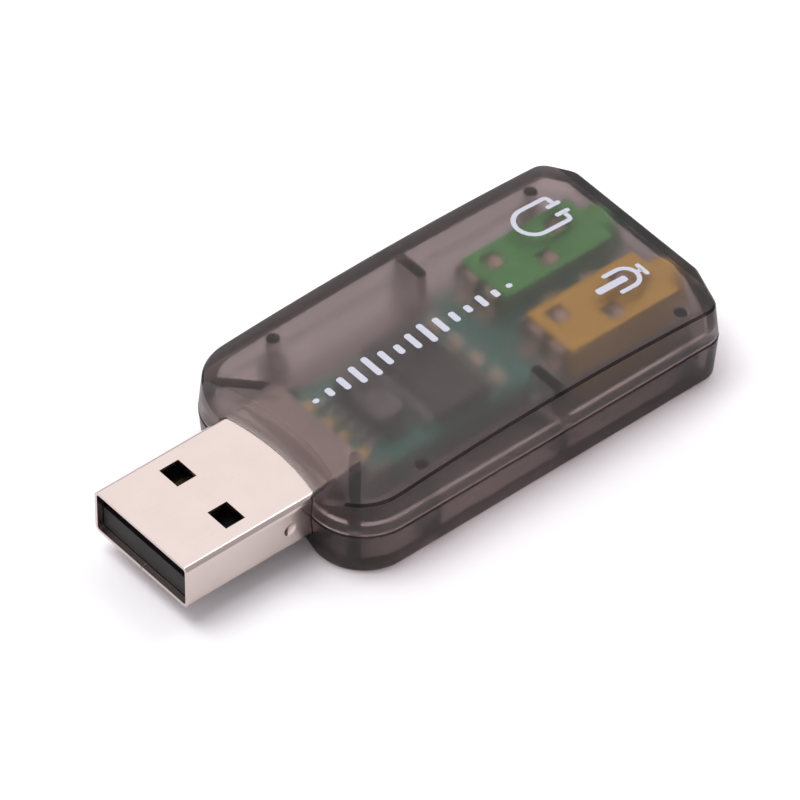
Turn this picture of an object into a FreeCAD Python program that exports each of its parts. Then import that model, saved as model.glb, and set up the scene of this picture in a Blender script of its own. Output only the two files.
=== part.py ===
import FreeCAD, Part
import math
import os

# A USB sound card in its own frame: +Z up, +X from the plug towards the audio sockets, +Y the headphone side.
# The origin is under the middle of the overall length, on the flat underside. Sizes are in millimetres.

V = FreeCAD.Vector

# Case, outside
plug_reach = 13.65       # plug's mouth to the middle of the hollow front
case_length = 40.7       # middle of the hollow front to the socket end
case_width = 23.6        # across the parting plane
base_height = 4.4        # underside to the parting plane
top_rise = 3.35          # parting plane to the ends of the arched top
top_arch = 0.85          # rise of the top from its ends to its middle
top_draft = 0.35         # inward lean of the upper walls over the rise of the top
base_draft = 0.4         # inward lean of the lower walls over the height of the base
front_corner = 5.0       # radius of the two corners beside the plug
hollow_radius = 23.4     # hollow of the front between the corners
scoop_height = 2.05      # start of the scooped front above the parting plane
scoop_slope = 1.6        # backward run of the scoop for its rise
end_flat_near = 6.6      # straight socket end, from the middle to the microphone side
end_flat_far = 9.0       # and to the headphone side
end_taper = 1.9          # length of the slanted corners beside it
end_round = 2.0          # rounding of those corners
top_bevel = 0.2          # bevel of the top's edge
base_round = 0.6         # rounding of the underside's edge

# Case, inside
side_wall = 1.3
top_plate = 0.9
floor = 1.2
lip_height = 0.8         # lip of the base that stands inside the top
lip_thickness = 0.5
lip_gap = 0.1
shadow_height = 0.25     # fine groove that runs round the case above the parting plane
shadow_depth = 0.25
rib = 1.0                # thickness of the moulded ribs
rib_gap = 0.1            # between the ribs of the two halves
side_rib_setback = 18.6  # side ribs, from the socket end
side_rib_reach = 3.0     # side ribs, from the inner wall
plug_rib_setback = 4.5   # tips of the slanted ribs beside the plug, from the front
plug_rib_place = 5.3     # and from the middle
plug_rib_turn = 130      # their way to the front corners, in degrees
pin_radius = 0.6         # locating pins of the top
pin_depth = 1.2          # how far a pin stands in its hole in the base
pin_gap = 0.1            # round a pin in its hole
pin_wall_gap = 0.35      # between a pin and the wall
pin_boss_wall = 0.5      # wall round a pin's hole in the base
front_pin_setback = 8.0  # front pins, from the front
end_pin_setback = 4.8    # rear pins, from the socket end

# USB plug
plug_width = 12.0
plug_height = 4.5
plug_length = 19.0
plug_sheet = 0.3
plug_corner = 0.6        # outer radius of the folded sheet
plug_gap = 0.1           # plug in the case
latch_setback = 5.4      # square latch holes, from the front
latch_length = 2.0
latch_width = 2.4
latch_inner = 1.93       # latch holes, from the middle
seam = 0.12              # where the two edges of the folded sheet meet
dent_setback = 10.7      # round dents in the sides of the sheet, from the front
dent_radius = 0.6
dent_depth = 0.15
leg_length = 2.4         # legs of the sheet beside the board
leg_height = 1.6
tongue_recess = 0.6      # tongue behind the plug's mouth
tongue_gap = 0.08        # insulator in the sheet
plug_base = 6.0          # length of the insulator's rear block
contact_width = 1.0
contact_thickness = 0.25
contact_stand = 0.05     # contacts above the tongue
outer_contact_pitch = 7.0
inner_contact_pitch = 2.0
outer_contact_recess = 1.0
inner_contact_recess = 2.0
contact_foot = 2.0       # contacts behind the plug, on the board

# Circuit board
board_thickness = 1.0
board_gap = 0.2          # board behind the plug
board_side_gap = 0.1     # board between the legs of the plug
board_rear_gap = 1.0     # board before the socket housings
board_rear_length = 2.4  # wider rear of the board
finger_gap = 0.15        # finger of the board between the housings
finger_setback = 1.0     # finger behind the front of the housings
support_inset = 1.0      # board supports inside the board's edges

# Parts on the board
part_gap = 0.25          # between neighbouring rows of parts
chip_length = 10.2       # across the board
chip_width = 5.3
chip_height = 1.6
chip_standoff = 0.1
chip_bevel = 0.5         # bevel along the first row of leads
lead_count = 14          # leads on each side of the chip
lead_pitch = 0.65
lead_width = 0.28
lead_thickness = 0.15
lead_reach = 1.2
crystal_length = 8.0
crystal_width = 3.6
crystal_height = 2.2
crystal_base_height = 0.4
crystal_rim = 0.3        # base outside the can
small_length = 1.6       # capacitors and resistors
small_width = 0.8
capacitor_height = 0.8
resistor_height = 0.45
resistor_count = 3
resistor_pitch = 2.5
capacitor_count = 4
capacitor_pitch = 2.6
finger_capacitor_count = 2
finger_capacitor_pitch = 4.0

# Audio sockets
socket_pitch = 8.4
socket_width = 6.0
socket_height = 5.0
socket_length = 11.6
socket_clear = 1.3       # housing behind the end wall
bore_radius = 1.8
nose_radius = 2.5
nose_recess = 0.2        # nose inside the end face
nose_gap = 0.1
window_length = 1.7
window_skin = 0.35       # top of the housing over the springs
spring_width = 1.6
spring_thickness = 0.2
spring_dip = 0.15        # bend of a spring towards the bore
spring_hold = 0.5        # spring under the skin at each end of its window
spring_gap = 0.1         # spring in its channel
tip_window = 2.0         # windows, from the rear of the housing
ring_window = 5.8
sleeve_window = 8.8
tip_offset = 1.2         # windows, from the middle of the housing
ring_offset = -1.4
sleeve_offset = 1.2
terminal_foot = 1.0      # spring terminals on the board
terminal_height = 1.0    # sleeve terminal along the side of the housing

# Places that follow from the sizes
parting = base_height
overall_length = plug_reach + case_length
plug_front = -overall_length / 2
plug_rear = plug_front + plug_length
case_front = plug_front + plug_reach
case_end = case_front + case_length
half_width = case_width / 2
end_wall_lean = base_draft * socket_height / 2 / base_height
socket_front = case_end - side_wall - end_wall_lean - socket_clear
socket_rear = socket_front - socket_length
board_top = parting
board_front = plug_rear + board_gap
board_rear = socket_rear - board_rear_gap
board_half = plug_width / 2 - plug_sheet - board_side_gap
board_rear_half = (socket_pitch + socket_width) / 2
resistor_x = plug_rear + contact_foot + part_gap + small_width / 2
crystal_x = resistor_x + small_width / 2 + part_gap + crystal_width / 2
chip_x = crystal_x + crystal_width / 2 + part_gap + lead_reach + chip_width / 2
capacitor_x = chip_x + chip_width / 2 + lead_reach + part_gap + small_width / 2
spring_top = parting + socket_height / 2 - window_skin
spring_low = spring_top - spring_thickness
terminal_bend = socket_rear - board_rear_gap / 2
far = case_length + case_width  # longer than any cut needs to be
same = 1e-6              # two points nearer than this are one


# Small helpers

def box(x0, x1, y0, y1, z0, z1):
    return Part.makeBox(x1 - x0, y1 - y0, z1 - z0, V(x0, y0, z0))


def cylinder(radius, height, x, y, z, axis=V(0, 0, 1)):
    return Part.makeCylinder(radius, height, V(x, y, z), axis)


def prism(corners, along):
    return Part.Face(Part.makePolygon(corners + corners[:1])).extrude(along)


def joined(shapes):
    shapes = list(shapes)
    return shapes[0].multiFuse(shapes[1:])


def both_sides(shape):
    return shape.fuse(shape.mirror(V(0, 0, 0), V(0, 1, 0)))


def spread(count, pitch):
    """Places of a row, evenly about the middle."""
    return [(k - (count - 1) / 2) * pitch for k in range(count)]


def save(shape, node):
    shape.removeSplitter().exportStep("parts/" + node + ".step")


def level_face(shape, up):
    """Largest face that looks straight up, or down."""
    def looks(face):
        u0, u1, v0, v1 = face.ParameterRange
        return face.normalAt((u0 + u1) / 2, (v0 + v1) / 2).z * up > 0.95
    return max([face for face in shape.Faces if looks(face)], key=lambda face: face.Area)


# Outline of the case, seen from above

def inset_corners(corners, inset):
    """Corners of the same polygon, counter-clockwise, with each side moved inwards."""
    moved = []
    for k, corner in enumerate(corners):
        before = (corner - corners[k - 1]).normalize()
        after = (corners[(k + 1) % len(corners)] - corner).normalize()
        inward = V(-before.y, before.x, 0) + V(-after.y, after.x, 0)
        moved.append(corner + inward * (inset / (1 + before.dot(after))))
    return moved


def corner_arc(last, corner, following, radius):
    """Three points of the tangent arc that rounds a corner."""
    to_last = (last - corner).normalize()
    to_next = (following - corner).normalize()
    half_angle = to_last.getAngle(to_next) / 2
    run = radius / math.tan(half_angle)
    apex = corner + (to_last + to_next).normalize() * (radius / math.sin(half_angle) - radius)
    return corner + to_last * run, apex, corner + to_next * run


def chained(arcs):
    """Closed wire of arcs of three points each, with straight sides where they don't meet."""
    edges = []
    for k, arc in enumerate(arcs):
        edges.append(Part.Arc(*arc).toShape())
        start = arcs[(k + 1) % len(arcs)][0]
        if arc[2].distanceToPoint(start) > same:
            edges.append(Part.makeLine(arc[2], start))
    return Part.Wire(edges)


def rounded(corners, radius):
    after = corners[1:] + corners[:1]
    return chained([corner_arc(corners[k - 1], corners[k], after[k], radius) for k in range(len(corners))])


def outline(inset, z):
    """Plan of the case at one level, with its sides moved inwards."""
    shoulder = case_end - end_taper
    plan = [
        V(case_front, -half_width, z),
        V(shoulder, -half_width, z),
        V(case_end, -end_flat_near, z),
        V(case_end, end_flat_far, z),
        V(shoulder, half_width, z),
        V(case_front, half_width, z),
    ]
    plan = inset_corners(plan, inset)
    ends = [corner_arc(plan[k - 1], plan[k], plan[k + 1], end_round - inset) for k in range(1, 5)]
    hollow = V(case_front - hollow_radius, 0, z)
    offset = half_width - front_corner
    centre = hollow + V(math.sqrt((hollow_radius + front_corner) ** 2 - offset ** 2), -offset, 0)
    to_hollow = (hollow - centre).normalize()
    to_side = V(0, -1, 0)
    middle = (to_hollow + to_side).normalize()
    near = tuple(centre + way * (front_corner - inset) for way in (to_hollow, middle, to_side))
    other = tuple(V(p.x, -p.y, z) for p in reversed(near))
    front = (other[2], hollow + V(hollow_radius + inset, 0, 0), near[0])
    return chained([near] + ends + [other, front])


def round_wall(low, high):
    """Round or conical face between two arcs about one upright axis."""
    centre = low.Curve.Center
    height = high.Curve.Center.z - centre.z
    start, end = [point.Point - centre for point in low.Vertexes]
    if start.cross(end).z < 0:
        start, end = end, start
    turn = math.degrees(start.getAngle(end))
    radii = low.Curve.Radius, high.Curve.Radius
    if abs(radii[0] - radii[1]) < same:
        body = Part.makeCylinder(radii[0], height, centre, V(0, 0, 1), turn)
    else:
        body = Part.makeCone(radii[0], radii[1], height, centre, V(0, 0, 1), turn)
    body.rotate(centre, V(0, 0, 1), math.degrees(math.atan2(start.y, start.x)))
    return [face for face in body.Faces if not isinstance(face.Surface, Part.Plane)][0]


def wall(low, high):
    """Face between two matching sides of two outlines."""
    if isinstance(low.Curve, Part.Line):
        corners = [low.valueAt(low.FirstParameter), low.valueAt(low.LastParameter)]
        corners += [high.valueAt(high.LastParameter), high.valueAt(high.FirstParameter)]
        return Part.Face(Part.makePolygon(corners + corners[:1]))
    return round_wall(low, high)


def between(foot, head):
    """Solid between two outlines that have the same sides."""
    walls = [wall(low, high) for low, high in zip(foot.Edges, head.Edges)]
    skin = Part.makeShell(walls + [Part.Face(foot), Part.Face(head)])
    skin.sewShape()
    return Part.makeSolid(skin)


def under_arch(drop):
    """Everything under the arched top, lowered by drop."""
    half = case_length / 2
    radius = (half ** 2 + top_arch ** 2) / (2 * top_arch)
    centre = parting + top_rise + top_arch - radius
    return cylinder(radius - drop, 2 * far, (case_front + case_end) / 2, far, centre, V(0, -1, 0))


def scoop(inset, drop):
    """Cone that hollows the front above the plug, widened by inset and lowered by half of drop."""
    height = 2 * top_rise
    low = hollow_radius + inset - scoop_slope * (scoop_height - drop / 2)
    return Part.makeCone(low, low + scoop_slope * height, height, V(case_front - hollow_radius, 0, parting))


def upper_body(inset, drop):
    """Solid of the upper half under its arched top, with its walls moved inwards and its top lowered."""
    height = top_rise + 2 * top_arch
    head = outline(inset + top_draft * height / top_rise, parting + height)
    return between(outline(inset, parting), head).common(under_arch(drop))


def lower_body(inset, bottom):
    """Solid of the lower half above bottom, with its walls moved inwards."""
    draft = base_draft * (1 - bottom / base_height)
    return between(outline(inset + draft, bottom), outline(inset, parting))


def upper_band(z_height):
    return box(-far, far, -far, far, parting, parting + z_height)


# Things that pass through the case

def plug_section(growth, x0, x1):
    half = plug_width / 2 + growth
    rise = plug_height / 2 + growth
    corners = [V(x0, -half, -rise), V(x0, half, -rise), V(x0, half, rise), V(x0, -half, rise)]
    section = Part.Face(rounded(corners, plug_corner + growth))
    return section.extrude(V(x1 - x0, 0, 0)).translated(V(0, 0, parting))


def openings():
    plug_way = plug_section(plug_gap, case_front - far, plug_rear)
    nose_way = cylinder(nose_radius + nose_gap, far, socket_front, socket_pitch / 2, parting, V(1, 0, 0))
    return plug_way.fuse(both_sides(nose_way))


# Ribs and pins; each is trimmed to the hollow that it stands in

def side_ribs(growth):
    x = case_end - side_rib_setback
    inner = half_width - side_wall - side_rib_reach
    half = rib / 2 + growth
    return both_sides(box(x - half, x + half, inner, far, 0, far).fuse(cylinder(half, far, x, inner, 0)))


def plug_ribs(growth):
    half = rib / 2 + growth
    bar = box(0, far, -half, half, 0, far).fuse(cylinder(half, far, 0, 0, 0))
    bar.rotate(V(0, 0, 0), V(0, 0, 1), plug_rib_turn)
    return both_sides(bar.translated(V(case_front + plug_rib_setback, plug_rib_place, 0)))


def pin_places():
    y = half_width - side_wall - pin_wall_gap - pin_radius
    for x in (case_front + front_pin_setback, case_end - end_pin_setback):
        yield x, y
        yield x, -y


def upright_round(radius, z0, z1):
    """One round bar at each place of a pin."""
    return joined(cylinder(radius, z1 - z0, x, y, z0) for x, y in pin_places())


def board_supports():
    half = board_half - support_inset
    top = board_top - board_thickness
    front = board_front + support_inset
    rear = board_rear - support_inset
    return box(front, front + rib, -half, half, 0, top).fuse(box(rear - rib, rear, -half, half, 0, top))


def socket_seats():
    """Low bars of the base that carry the two housings."""
    inner = (socket_pitch - socket_width) / 2
    outer = inner + socket_width
    top = parting - socket_height / 2
    front = box(socket_front - 2 * rib, socket_front - rib, inner, outer, 0, top)
    rear = box(socket_rear + rib, socket_rear + 2 * rib, inner, outer, 0, top)
    return both_sides(front.fuse(rear))


# The two halves of the case

def lip_ring(inset, height):
    """Band just above the parting plane, from inset to the inner face of the wall."""
    return upper_body(inset, 0).cut(upper_body(side_wall, 0)).common(upper_band(height))


def top_shell():
    body = upper_body(0, 0)
    body = body.makeChamfer(top_bevel, level_face(body, 1).Edges).cut(scoop(0, 0))
    hollow = upper_body(side_wall, top_plate).cut(scoop(side_wall, top_plate))
    ribs = side_ribs(0).fuse(plug_ribs(0)).cut(upper_band(rib_gap))
    inside = ribs.fuse(upright_round(pin_radius, parting, far))
    shape = body.cut(hollow).fuse(inside.common(hollow))
    rebate = lip_ring(side_wall - lip_thickness - lip_gap, lip_height + lip_gap)
    shape = shape.cut(rebate.cut(side_ribs(0)).cut(plug_ribs(0)))
    groove = upper_band(shadow_height).cut(upper_body(shadow_depth, 0))
    feet = upright_round(pin_radius, parting - pin_depth, parting)
    return shape.cut(groove).fuse(feet).cut(openings())


def bottom_shell():
    body = lower_body(0, 0)
    body = body.makeFillet(base_round, level_face(body, -1).Edges)
    hollow = lower_body(side_wall, floor)
    bosses = upright_round(pin_radius + pin_gap + pin_boss_wall, 0, parting)
    inside = joined([side_ribs(0), plug_ribs(0), bosses, board_supports(), socket_seats()])
    lip = lip_ring(side_wall - lip_thickness, lip_height).cut(side_ribs(lip_gap)).cut(plug_ribs(lip_gap))
    holes = upright_round(pin_radius + pin_gap, parting - pin_depth - pin_gap, parting)
    return body.cut(hollow).fuse(inside.common(hollow)).fuse(lip).cut(holes).cut(openings())


# USB plug

def plug_shell():
    tube = plug_section(0, plug_front, plug_rear).cut(plug_section(-plug_sheet, plug_front, plug_rear))
    x = plug_front + latch_setback
    latch = box(x, x + latch_length, latch_inner, latch_inner + latch_width, 0, far)
    slit = box(plug_front, plug_rear, -seam / 2, seam / 2, 0, parting)
    half = plug_width / 2
    ball = (dent_radius ** 2 + dent_depth ** 2) / (2 * dent_depth)
    dent = Part.makeSphere(ball, V(plug_front + dent_setback, half - dent_depth + ball, parting))
    rise = leg_height / 2
    leg = box(plug_rear, plug_rear + leg_length, half - plug_sheet, half, parting - rise, parting + rise)
    return tube.cut(both_sides(latch.fuse(dent))).cut(slit).fuse(both_sides(leg))


def contact_rows():
    """Name, place across the plug and setback of each contact."""
    outer = outer_contact_pitch / 2
    inner = inner_contact_pitch / 2
    yield "plug_contact_power", -outer, outer_contact_recess
    yield "plug_contact_data_minus", -inner, inner_contact_recess
    yield "plug_contact_data_plus", inner, inner_contact_recess
    yield "plug_contact_ground", outer, outer_contact_recess


def plug_contact(y, recess):
    x = plug_front + tongue_recess + recess
    half = contact_width / 2
    return box(x, plug_rear + contact_foot, y - half, y + half, board_top, board_top + contact_thickness)


def plug_insulator():
    core = plug_section(-plug_sheet - tongue_gap, plug_front + tongue_recess, plug_rear)
    tongue_top = board_top + contact_thickness - contact_stand
    shape = core.cut(box(plug_front, plug_rear - plug_base, -far, far, tongue_top, far))
    for name, y, recess in contact_rows():
        shape = shape.cut(plug_contact(y, recess))
    return shape


# Circuit board and the parts on it

def circuit_board():
    bottom = board_top - board_thickness
    main = box(board_front, board_rear, -board_half, board_half, bottom, board_top)
    start = board_rear - board_rear_length
    wide = box(start, board_rear, -board_rear_half, board_rear_half, bottom, board_top)
    half = (socket_pitch - socket_width) / 2 - finger_gap
    finger = box(board_rear, socket_front - finger_setback, -half, half, bottom, board_top)
    return joined([main, wide, finger])


def chip_body():
    half = chip_width / 2
    low = board_top + chip_standoff
    high = low + chip_height
    y = -chip_length / 2
    section = [
        V(chip_x - half, y, low),
        V(chip_x + half, y, low),
        V(chip_x + half, y, high),
        V(chip_x - half + chip_bevel, y, high),
        V(chip_x - half, y, high - chip_bevel),
    ]
    return prism(section, V(0, chip_length, 0))


def chip_leads():
    """Gull-wing leads along both long sides of the chip."""
    start = chip_width / 2
    knee = start + lead_reach / 2
    toe = start + lead_reach
    level = board_top + chip_standoff + chip_height / 2
    thick = lead_thickness
    section = [
        V(start, 0, level),
        V(knee, 0, level),
        V(toe, 0, board_top + thick),
        V(toe, 0, board_top),
        V(knee, 0, board_top),
        V(knee - thick, 0, level - thick),
        V(start, 0, level - thick),
    ]
    lead = prism(section, V(0, lead_width, 0)).translated(V(0, -lead_width / 2, 0))
    other = lead.mirror(V(0, 0, 0), V(1, 0, 0))
    leads = []
    for y in spread(lead_count, lead_pitch):
        leads.append(lead.translated(V(chip_x, y, 0)))
        leads.append(other.translated(V(chip_x, y, 0)))
    return Part.makeCompound(leads)


def crystal_section(rim, z):
    """Plan of the crystal, with round ends."""
    half_x = crystal_width / 2 - rim
    half_y = crystal_length / 2 - rim
    right = V(crystal_x + half_x, 0, z)
    left = V(crystal_x - half_x, 0, z)
    straight = half_y - half_x
    up = V(0, straight, 0)
    edges = [
        Part.makeLine(right - up, right + up),
        Part.Arc(right + up, V(crystal_x, half_y, z), left + up).toShape(),
        Part.makeLine(left + up, left - up),
        Part.Arc(left - up, V(crystal_x, -half_y, z), right - up).toShape(),
    ]
    return Part.Face(Part.Wire(edges))


def crystal_base():
    return crystal_section(0, board_top).extrude(V(0, 0, crystal_base_height))


def crystal_can():
    can = crystal_section(crystal_rim, board_top + crystal_base_height).extrude(V(0, 0, crystal_height))
    return can.makeChamfer(crystal_rim, level_face(can, 1).Edges)


def small_part(x, y, length_x, length_y, height):
    half_x = length_x / 2
    half_y = length_y / 2
    return box(x - half_x, x + half_x, y - half_y, y + half_y, board_top, board_top + height)


def resistors():
    for y in spread(resistor_count, resistor_pitch):
        yield small_part(resistor_x, y, small_width, small_length, resistor_height)


def capacitors():
    for y in spread(capacitor_count, capacitor_pitch):
        yield small_part(capacitor_x, y, small_width, small_length, capacitor_height)
    for x in spread(finger_capacitor_count, finger_capacitor_pitch):
        yield small_part((socket_rear + socket_front) / 2 + x, 0, small_length, small_width, capacitor_height)


# Audio sockets, modelled round the line y = 0 and then moved to their places

def spring_strip(x, y):
    """Strip across a window, bent down towards the bore in the middle."""
    edge = window_length / 2
    end = edge + spring_hold
    dip = V(0, 0, -spring_dip)
    top = [V(x + dx, y - spring_width / 2, spring_top) for dx in (-end, -edge, 0, edge, end)]
    top[2] = top[2] + dip
    under = [point + V(0, 0, -spring_thickness) for point in reversed(top)]
    return prism(top + under, V(0, spring_width, 0))


def rear_run(x, y, growth):
    """The way of a tip or ring spring under the skin to the rear of the housing."""
    half = spring_width / 2 + growth
    return box(terminal_bend, x, y - half, y + half, spring_low - growth, spring_top)


def rear_foot(y0, y1):
    """Bend behind the housing and foot on the board."""
    upright = box(terminal_bend - spring_thickness, terminal_bend, y0, y1, board_top, spring_top)
    foot = box(board_rear - terminal_foot, terminal_bend, y0, y1, board_top, board_top + spring_thickness)
    return upright.fuse(foot)


def side_run(growth):
    """The way of the sleeve spring, out to the side of the housing and along it to the rear."""
    x = socket_rear + sleeve_window
    half = socket_width / 2
    reach = spring_width / 2 + growth
    inner = half - spring_thickness - growth
    arm = box(x - reach, x + reach, sleeve_offset, half, spring_low - growth, spring_top)
    side = box(terminal_bend, x + reach, inner, half, spring_top - terminal_height - growth, spring_top)
    return arm.fuse(side)


def tip_spring():
    x = socket_rear + tip_window
    foot = rear_foot(tip_offset - spring_width / 2, tip_offset + spring_width / 2)
    return joined([spring_strip(x, tip_offset), rear_run(x - window_length / 2, tip_offset, 0), foot])


def ring_spring():
    x = socket_rear + ring_window
    foot = rear_foot(ring_offset - spring_width / 2, ring_offset + spring_width / 2)
    return joined([spring_strip(x, ring_offset), rear_run(x - window_length / 2, ring_offset, 0), foot])


def sleeve_spring():
    half = socket_width / 2
    x = socket_rear + sleeve_window
    strip = spring_strip(x, sleeve_offset)
    dip = box(x - window_length / 2, x + window_length / 2, -far, sleeve_offset + spring_width / 2, 0, far)
    foot = rear_foot(half - spring_thickness, half)
    return joined([strip, side_run(0).cut(dip), foot])


def spring_channel(x, y):
    """Window in the top of a housing, with the longer channel under the skin that holds the spring."""
    edge = window_length / 2
    end = edge + spring_hold + spring_gap
    half = spring_width / 2 + spring_gap
    window = box(x - edge, x + edge, y - half, y + half, parting, far)
    return window.fuse(box(x - end, x + end, y - half, y + half, parting, spring_top))


def socket_housing():
    half = socket_width / 2
    rise = socket_height / 2
    block = box(socket_rear, socket_front, -half, half, parting - rise, parting + rise)
    nose = cylinder(nose_radius, case_end - nose_recess - socket_front, socket_front, 0, parting, V(1, 0, 0))
    tip_x = socket_rear + tip_window
    ring_x = socket_rear + ring_window
    sleeve_x = socket_rear + sleeve_window
    cuts = [
        spring_channel(tip_x, tip_offset),
        spring_channel(ring_x, ring_offset),
        spring_channel(sleeve_x, sleeve_offset),
        rear_run(tip_x, tip_offset, spring_gap),
        rear_run(ring_x, ring_offset, spring_gap),
        side_run(spring_gap),
        cylinder(bore_radius, far, -far / 2, 0, parting, V(1, 0, 0)),
    ]
    return block.fuse(nose).cut(cuts)


os.makedirs("parts", exist_ok=True)
save(top_shell(), "top_shell")
save(bottom_shell(), "bottom_shell")
save(plug_shell(), "plug_shell")
save(plug_insulator(), "plug_insulator")
for name, y, recess in contact_rows():
    save(plug_contact(y, recess), name)
save(circuit_board(), "circuit_board")
save(chip_body(), "chip_body")
chip_leads().exportStep("parts/chip_leads.step")
save(crystal_base(), "crystal_base")
save(crystal_can(), "crystal_can")
for number, shape in enumerate(resistors(), 1):
    save(shape, "resistor_" + str(number))
for number, shape in enumerate(capacitors(), 1):
    save(shape, "capacitor_" + str(number))
for name, y in (("headphone", socket_pitch / 2), ("microphone", -socket_pitch / 2)):
    place = V(0, y, 0)
    save(socket_housing().translated(place), name + "_socket")
    save(tip_spring().translated(place), name + "_tip_spring")
    save(ring_spring().translated(place), name + "_ring_spring")
    save(sleeve_spring().translated(place), name + "_sleeve_spring")
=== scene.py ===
import math

import bmesh
import bpy
from mathutils import Matrix, Vector


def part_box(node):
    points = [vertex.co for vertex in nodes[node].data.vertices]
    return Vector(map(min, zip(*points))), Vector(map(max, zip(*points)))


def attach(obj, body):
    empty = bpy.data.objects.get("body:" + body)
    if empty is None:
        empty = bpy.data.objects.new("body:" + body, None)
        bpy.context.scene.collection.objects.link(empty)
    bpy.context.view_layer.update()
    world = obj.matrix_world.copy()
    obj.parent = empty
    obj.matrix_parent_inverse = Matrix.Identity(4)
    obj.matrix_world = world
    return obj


# A USB sound card in a smoke-grey see-through case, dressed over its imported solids.
# Metres; +X from the plug to the audio sockets, +Y the headphone side, +Z up.

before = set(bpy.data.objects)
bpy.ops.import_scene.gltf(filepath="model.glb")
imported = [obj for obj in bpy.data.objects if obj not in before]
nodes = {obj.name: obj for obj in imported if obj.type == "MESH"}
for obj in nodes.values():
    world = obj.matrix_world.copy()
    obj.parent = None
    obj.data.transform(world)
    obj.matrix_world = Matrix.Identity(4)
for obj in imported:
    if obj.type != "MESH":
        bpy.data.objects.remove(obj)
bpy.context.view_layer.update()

MM = 0.001

# The arched top of the case, along its length
arch_radius = 244.03 * MM
arch_middle = 6.825 * MM
arch_top = 8.6 * MM


def top_height(x):
    """Height of the arched top at x."""
    return arch_top - arch_radius + math.sqrt(arch_radius ** 2 - (x - arch_middle) ** 2)


# Shader maths

class Value:
    """A number that changes over a surface."""

    def __init__(self, finish, socket):
        self.finish = finish
        self.socket = socket

    def maths(self, operation, *terms):
        return self.finish.node("ShaderNodeMath", {"operation": operation}, *terms)

    def __add__(self, other):
        return self.maths("ADD", self, other)

    def __mul__(self, other):
        return self.maths("MULTIPLY", self, other)

    def __abs__(self):
        return self.maths("ABSOLUTE", self)

    def __gt__(self, other):
        return self.maths("GREATER_THAN", self, other)

    def __lt__(self, other):
        return self.maths("LESS_THAN", self, other)

    __radd__ = __add__
    __rmul__ = __mul__


class Finish:
    """One material, written as nodes."""

    def __init__(self, name):
        self.material = bpy.data.materials.new(name)
        self.material.use_nodes = True
        self.tree = self.material.node_tree
        self.tree.nodes.clear()
        self.output = self.tree.nodes.new("ShaderNodeOutputMaterial")

    def node(self, kind, settings, *inputs, out=0, **named):
        made = self.tree.nodes.new(kind)
        for name, value in settings.items():
            setattr(made, name, value)
        for key, value in [*enumerate(inputs), *named.items()]:
            place = key if isinstance(key, int) else key.replace("_", " ")
            self.feed(made.inputs[place], value)
        return Value(self, made.outputs[out])

    def feed(self, socket, value):
        if isinstance(value, Value):
            self.tree.links.new(value.socket, socket)
        else:
            socket.default_value = value

    def place(self, stretch=(1, 1, 1), shift=(0, 0, 0)):
        """Object coordinates in millimetres, stretched and shifted."""
        at = self.node("ShaderNodeTexCoord", {}, out="Object")
        scale = tuple(1000 * s for s in stretch)
        return self.node("ShaderNodeMapping", {}, Vector=at, Scale=scale, Location=shift)

    def axes(self, at):
        return [self.node("ShaderNodeSeparateXYZ", {}, at, out=name) for name in "XYZ"]

    def noise(self, at, scale, detail=2.0, roughness=0.5):
        return self.node(
            "ShaderNodeTexNoise", {}, Vector=at, Scale=scale, Detail=detail, Roughness=roughness)

    def mix(self, share, first, second):
        made = self.tree.nodes.new("ShaderNodeMix")
        made.data_type = "RGBA"
        for name, value in (("Factor_Float", share), ("A_Color", first), ("B_Color", second)):
            socket = next(s for s in made.inputs if s.identifier == name)
            colour = isinstance(value, tuple)
            self.feed(socket, (*value, 1.0) if colour else value)
        return Value(self, next(s for s in made.outputs if s.identifier == "Result_Color"))

    def bump(self, height, depth):
        """Normal of a surface whose height runs from 0 to 1 over depth in millimetres."""
        return self.node("ShaderNodeBump", {}, Strength=1.0, Distance=depth * MM, Height=height)

    def solid(self, colour, roughness, **rest):
        if isinstance(colour, tuple):
            colour = (*colour, 1.0)
        return self.node("ShaderNodeBsdfPrincipled", {}, Base_Color=colour, Roughness=roughness, **rest)

    def show(self, shader):
        self.tree.links.new(shader.socket, self.output.inputs["Surface"])
        return self.material


# Finishes

# Along the case, in millimetres: the start of its end wall, over which level faces get painted shade, and
# of the part of the plug's sheet in the case, which gets painted shade and a rougher finish
end_wall_from = 25.8
plug_shade_from = -12.0

# Upward share of the normal on the bevel of the top, and above that on level faces; these pick where
# shade is painted dark on the top
bevel_facing = 0.5
level_facing = 0.8


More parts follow.
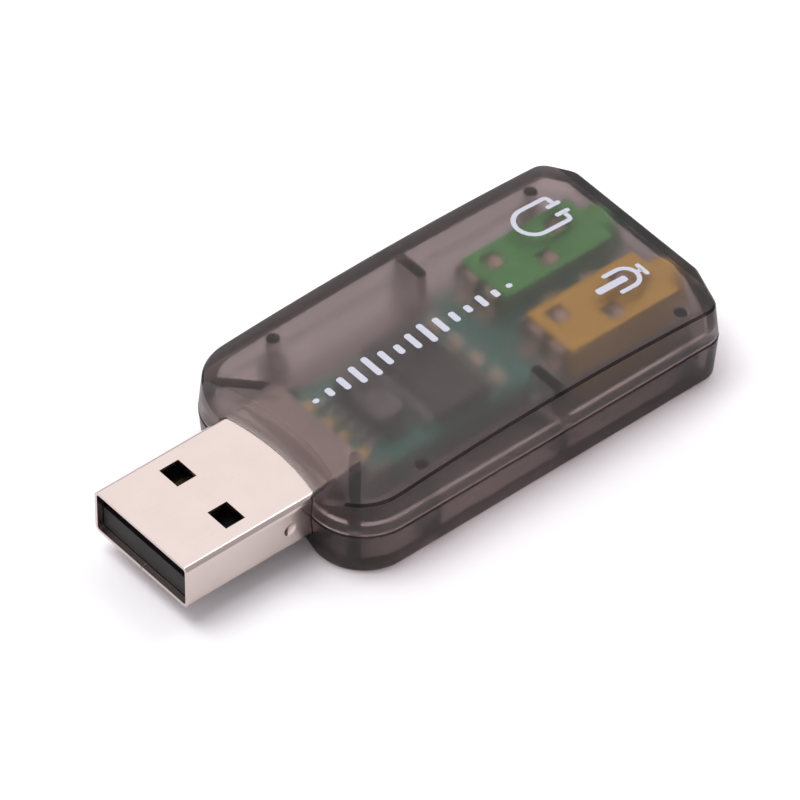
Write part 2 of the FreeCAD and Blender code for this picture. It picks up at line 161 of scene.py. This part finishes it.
def smoke_plastic():
    """See-through smoke-grey moulding, frosted by a fine grain, with shade painted dark on its bevel and
    on the level faces over its end wall.
    """
    finish = Finish("smoke plastic")
    at = finish.place()
    cloud = finish.noise(at, 0.25, 3.0)
    grain = finish.noise(at, 9.0, 2.0)
    facing = finish.node("ShaderNodeNewGeometry", {}, out="True Normal")
    tilt = finish.axes(facing)[2]
    bevel = (tilt > bevel_facing) * (tilt < level_facing)
    # painted shade: a dark band on level faces over the end wall, standing in for the shaded end wall
    # seen from above
    painted_end_shade = (tilt > level_facing) * (finish.axes(at)[0] > end_wall_from)
    colour = finish.mix(cloud, (0.98, 0.97, 0.97), (0.92, 0.91, 0.91))
    # painted shade: a dark line on the bevel, standing in for the dark inside seen through the crease
    colour = finish.mix(bevel, colour, (0.10, 0.09, 0.10))
    colour = finish.mix(painted_end_shade, colour, (0.06, 0.055, 0.06))
    rough = 0.34 + cloud * 0.07
    gloss = finish.solid(
        colour, rough, IOR=1.34, Transmission_Weight=1.0, Normal=finish.bump(grain, 0.004))
    clear = finish.node("ShaderNodeBsdfTransparent", {}, Color=(0.93, 0.93, 0.93, 1.0))
    lamp = finish.node("ShaderNodeLightPath", {}, out="Is Shadow Ray")
    smoke = finish.node(
        "ShaderNodeVolumeAbsorption", {}, Color=(0.45, 0.335, 0.325, 1.0), Density=755.0)
    finish.tree.links.new(smoke.socket, finish.output.inputs["Volume"])
    return finish.show(finish.node("ShaderNodeMixShader", {}, lamp, gloss, clear))


def nickel_sheet():
    """Bright nickelled sheet, brushed along the plug, with painted shade darkening it and a rougher
    finish where it lies in the case.
    """
    finish = Finish("nickelled sheet")
    brushed = finish.noise(finish.place((0.15, 6.0, 6.0)), 1.0, 3.0)
    at = finish.place()
    stain = finish.noise(at, 0.35, 3.0)
    # painted shade: the sheet inside the case is darkened to stand in for the shade in there; it is also
    # made rougher
    inner = finish.axes(at)[0] > plug_shade_from
    polished = finish.mix(stain, (0.63, 0.54, 0.505), (0.57, 0.485, 0.45))
    colour = finish.mix(inner, polished, finish.mix(stain, (0.33, 0.28, 0.255), (0.27, 0.23, 0.21)))
    rough = 0.16 + brushed * 0.12 + inner * 0.2
    return finish.show(finish.solid(colour, rough, Metallic=1.0, Normal=finish.bump(brushed, 0.003)))


def black_plastic():
    finish = Finish("black plug plastic")
    grain = finish.noise(finish.place(), 12.0, 2.0)
    colour = finish.mix(grain, (0.006, 0.006, 0.007), (0.016, 0.016, 0.017))
    return finish.show(finish.solid(
        colour, 0.4 + grain * 0.2, Specular_IOR_Level=0.2, Normal=finish.bump(grain, 0.01)))


def metal(name, bright, dull, roughness, stretch):
    """Plain sheet or plated metal with fine marks."""
    finish = Finish(name)
    marks = finish.noise(finish.place(stretch), 4.0, 3.0)
    colour = finish.mix(marks, bright, dull)
    rough = roughness + marks * 0.15
    return finish.show(finish.solid(colour, rough, Metallic=1.0, Normal=finish.bump(marks, 0.005)))


def board_lacquer():
    """Dark green lacquer over raised copper tracks."""
    finish = Finish("board lacquer")
    at = finish.place()
    wander = finish.noise(at, 0.4, 2.0)
    lane = finish.axes(at)[1] * 1.4 + wander * 2.0
    track = finish.node("ShaderNodeMath", {"operation": "PINGPONG"}, lane, 0.5) > 0.28
    weave = finish.noise(at, 14.0, 2.0)
    green = finish.mix(weave, (0.005, 0.095, 0.075), (0.008, 0.12, 0.095))
    colour = finish.mix(track, green, (0.012, 0.17, 0.125))
    rough = 0.3 + weave * 0.15
    return finish.show(finish.solid(colour, rough, Coat_Weight=0.3, Normal=finish.bump(track, 0.03)))


def chip_epoxy():
    finish = Finish("chip epoxy")
    grain = finish.noise(finish.place(), 20.0, 2.0)
    colour = finish.mix(grain, (0.016, 0.016, 0.017), (0.035, 0.034, 0.034))
    return finish.show(finish.solid(colour, 0.5 + grain * 0.25, Normal=finish.bump(grain, 0.01)))


def socket_plastic(name, colour, shade):
    """Glossy coloured moulding."""
    finish = Finish(name)
    at = finish.place()
    cloud = finish.noise(at, 0.6, 3.0)
    grain = finish.noise(at, 15.0, 2.0)
    tone = finish.mix(cloud, colour, shade)
    return finish.show(finish.solid(tone, 0.28 + grain * 0.12, Normal=finish.bump(grain, 0.006)))


def chip_part(name, body, centre, along):
    """Small ceramic part with tinned ends; its centre in millimetres, and the axis of its length."""
    finish = Finish(name)
    at = finish.place(shift=tuple(-c for c in centre))
    grain = finish.noise(at, 10.0, 2.0)
    end = abs(finish.axes(at)[along]) > 0.5
    colour = finish.mix(end, finish.mix(grain, body, tuple(0.75 * c for c in body)), (0.62, 0.60, 0.57))
    return finish.show(finish.solid(
        colour, 0.35 + grain * 0.2, Metallic=end, Normal=finish.bump(grain, 0.01)))


def white_ink():
    finish = Finish("white print")
    grain = finish.noise(finish.place(), 12.0, 4.0, 0.7)
    colour = finish.mix(grain, (0.60, 0.615, 0.69), (0.36, 0.375, 0.44))
    return finish.show(finish.solid(colour, 0.45 + grain * 0.2, Normal=finish.bump(grain, 0.004)))


def pale_floor():
    finish = Finish("pale floor")
    grain = finish.noise(finish.place(), 0.02, 2.0)
    colour = finish.mix(grain, (0.90, 0.90, 0.91), (0.88, 0.88, 0.89))
    return finish.show(finish.solid(colour, 0.8 + grain * 0.1))


def dress(names, material):
    for name in names:
        slots = nodes[name].data.materials
        slots.clear()
        slots.append(material)


dress(["top_shell", "bottom_shell"], smoke_plastic())
dress(["plug_shell"], nickel_sheet())
dress(["plug_insulator"], black_plastic())
dress([n for n in nodes if n.startswith("plug_contact")],
      metal("contact gold", (0.83, 0.60, 0.26), (0.72, 0.50, 0.20), 0.2, (0.2, 3, 3)))
dress(["circuit_board"], board_lacquer())
dress(["chip_body"], chip_epoxy())
dress(["chip_leads"], metal("tin", (0.72, 0.71, 0.69), (0.60, 0.59, 0.57), 0.25, (1, 1, 1)))
dress(["crystal_base", "crystal_can"],
      metal("dull can steel", (0.17, 0.17, 0.165), (0.125, 0.125, 0.12), 0.4, (1, 1, 1)))
dress([n for n in nodes if n.endswith("_spring")],
      metal("spring bronze", (0.40, 0.32, 0.26), (0.31, 0.25, 0.20), 0.35, (1, 4, 4)))
dress(["headphone_socket"], socket_plastic("headphone green", (0.025, 0.26, 0.022), (0.02, 0.21, 0.018)))
dress(["microphone_socket"], socket_plastic("microphone amber", (0.50, 0.30, 0.005), (0.43, 0.25, 0.004)))
for name in nodes:
    if name.startswith(("capacitor", "resistor")):
        low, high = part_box(name)
        centre = (low + high) / (2 * MM)
        size = high - low
        along = 0 if size.x > size.y else 1
        body = (0.50, 0.36, 0.22) if name.startswith("capacitor") else (0.02, 0.02, 0.02)
        dress([name], chip_part(name.replace("_", " "), body, tuple(centre), along))


# White print on the top

ink_thickness = 0.012 * MM


def finished(name, bm, material):
    mesh = bpy.data.meshes.new(name)
    bm.to_mesh(mesh)
    bm.free()
    mesh.materials.append(material)
    piece = bpy.data.objects.new(name, mesh)
    bpy.context.scene.collection.objects.link(piece)
    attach(piece, "root")


def laid_on_top(bm):
    """Thickens flat ink and lays it on the arched top."""
    bmesh.ops.recalc_face_normals(bm, faces=bm.faces)
    body = bmesh.ops.extrude_face_region(bm, geom=bm.faces[:])
    raised = [v for v in body["geom"] if isinstance(v, bmesh.types.BMVert)]
    bmesh.ops.translate(bm, verts=raised, vec=(0, 0, ink_thickness))
    for v in bm.verts:
        v.co.z += top_height(v.co.x)
    bmesh.ops.recalc_face_normals(bm, faces=bm.faces)


def ribbon(bm, start, heading, width, moves, step):
    """A line of ink: start in metres, heading in degrees, then straight runs and turns."""
    ahead = Vector((math.cos(math.radians(heading)), math.sin(math.radians(heading)), 0))
    aside = Vector((-ahead.y, ahead.x, 0))
    ends = [bm.verts.new(Vector(start) + aside * side * width / 2) for side in (1, -1)]
    edge = bm.edges.new(ends)
    for kind, size, angle in moves:
        if kind == "run":
            count = max(1, round(size / step))
            for _ in range(count):
                made = bmesh.ops.extrude_edge_only(bm, edges=[edge])["geom"]
                edge = next(e for e in made if isinstance(e, bmesh.types.BMEdge))
                bmesh.ops.translate(bm, verts=edge.verts, vec=ahead * size / count)
        else:
            middle = (edge.verts[0].co + edge.verts[1].co) / 2
            turn = math.radians(angle)
            centre = middle + aside * math.copysign(size, turn)
            count = max(2, round(abs(turn) * size / step))
            made = bmesh.ops.spin(
                bm, geom=[edge, *edge.verts], cent=centre, axis=(0, 0, 1), angle=turn, steps=count)
            edge = next(e for e in made["geom_last"] if isinstance(e, bmesh.types.BMEdge))
            ahead.rotate(Matrix.Rotation(turn, 3, "Z"))
            aside.rotate(Matrix.Rotation(turn, 3, "Z"))
    bmesh.ops.bevel(
        bm, geom=[*ends, *edge.verts], offset=width * 0.4,
        affect="VERTICES", segments=3, profile=0.5, material=-1)


ink = white_ink()
line = 0.44 * MM
step = 0.25 * MM


def stroke(bm, x, y, heading, width, *moves):
    """A line of ink from a place on the top, in millimetres."""
    scaled = [(kind, size * MM, angle) for kind, size, angle in moves]
    ribbon(bm, (x * MM, y * MM, 0), heading, width, scaled, step)


# Headphones: the bow and its two links in one line, then the two ear pads
bm = bmesh.new()
bow, leg, link, turn = 1.67, 2.5, 0.65, 0.3
bow_x, bow_y = 19.68, 6.05
pad_ahead, pad_aside, pad = 1.95, 0.6, 1.5
stroke(bm, bow_x + leg + turn, bow_y - bow + turn + link, -90, line,
       ("run", link, 0), ("turn", turn, -90), ("run", leg, 0), ("turn", bow, -180),
       ("run", leg, 0), ("turn", turn, -90), ("run", link, 0))
for side in (-1, 1):
    stroke(bm, bow_x + pad_ahead, bow_y + side * pad_aside, 0, line, ("run", pad, 0))
laid_on_top(bm)
finished("headphone_symbol", bm, ink)

# Microphone: its body, the cradle round it, and the foot
bm = bmesh.new()
cradle, arm = 1.18, 1.55
voice_x, voice_y = 21.18, -4.0
body_behind, body, body_width = 3.15, 3.25, 0.72 * MM
stem_gap, stem = 0.15, 0.5
foot_ahead, foot = 1.85, 1.6
stroke(bm, voice_x - body_behind, voice_y, 0, body_width, ("run", body, 0))
stroke(bm, voice_x - arm, voice_y + cradle, 0, line,
       ("run", arm, 0), ("turn", cradle, -180), ("run", arm, 0))
stroke(bm, voice_x + cradle + stem_gap, voice_y, 0, line, ("run", stem, 0))
stroke(bm, voice_x + foot_ahead, voice_y + foot / 2, -90, line, ("run", foot, 0))
laid_on_top(bm)
finished("microphone_symbol", bm, ink)

# A row of sound-level bars down the middle
bm = bmesh.new()
levels = [0.5, 1.0, 1.6, 2.2, 2.5, 1.8, 1.2, 2.0, 2.5, 1.9, 1.3, 0.9, 1.5, 0.9, 0.5]
first_bar, bar_pitch, bar_middle, bar_width = -7.8, 1.48, 1.2, 0.6 * MM
for k, level in enumerate(levels):
    stroke(bm, first_bar + bar_pitch * k, bar_middle - level / 2, 90, bar_width, ("run", level, 0))
laid_on_top(bm)
finished("level_bars", bm, ink)


# Floor, lamps and camera

floor_gap = 0.02 * MM
bm = bmesh.new()
bmesh.ops.create_grid(bm, x_segments=8, y_segments=8, size=2.0)
bmesh.ops.translate(bm, verts=bm.verts, vec=(0, 0, -floor_gap))
floor_mesh = bpy.data.meshes.new("floor")
bm.to_mesh(floor_mesh)
bm.free()
floor_mesh.materials.append(pale_floor())
floor = bpy.data.objects.new("floor", floor_mesh)
bpy.context.scene.collection.objects.link(floor)

scene = bpy.context.scene
scene.view_settings.view_transform = "Standard"
world = bpy.data.worlds.new("studio")
world.use_nodes = True
sky = world.node_tree.nodes["Background"].inputs
sky["Color"].default_value = (0.99, 0.94, 1.0, 1.0)
sky["Strength"].default_value = 0.6
scene.world = world


def soft_lamp(name, place, width, power):
    """Square lamp that shines on the part."""
    lamp = bpy.data.lights.new(name, "AREA")
    lamp.shape = "SQUARE"
    lamp.size = width
    lamp.energy = power
    lit = bpy.data.objects.new(name, lamp)
    lit.location = place
    lit.rotation_euler = (-Vector(place)).to_track_quat("-Z", "Y").to_euler()
    scene.collection.objects.link(lit)


soft_lamp("overhead lamp", (-0.15, 0.15, 0.58), 0.36, 2.4)
soft_lamp("right lamp", (0.36, -0.03, 0.62), 0.18, 0.5)
soft_lamp("back panel", (0.46, 0.55, 0.70), 0.9, 2.1)

camera_place = Vector((-322.875, -387.1, 498.95)) * MM
camera_ahead = Vector((0.45729, 0.548, -0.70042))
image_pixels = 800
focal_pixels = 8567
lens = bpy.data.cameras.new("camera")
lens.sensor_width = 36.0
lens.lens = focal_pixels / image_pixels * lens.sensor_width
lens.clip_end = 20.0
camera = bpy.data.objects.new("camera", lens)
camera.location = camera_place
camera.rotation_euler = camera_ahead.to_track_quat("-Z", "Y").to_euler()
scene.collection.objects.link(camera)
scene.camera = camera
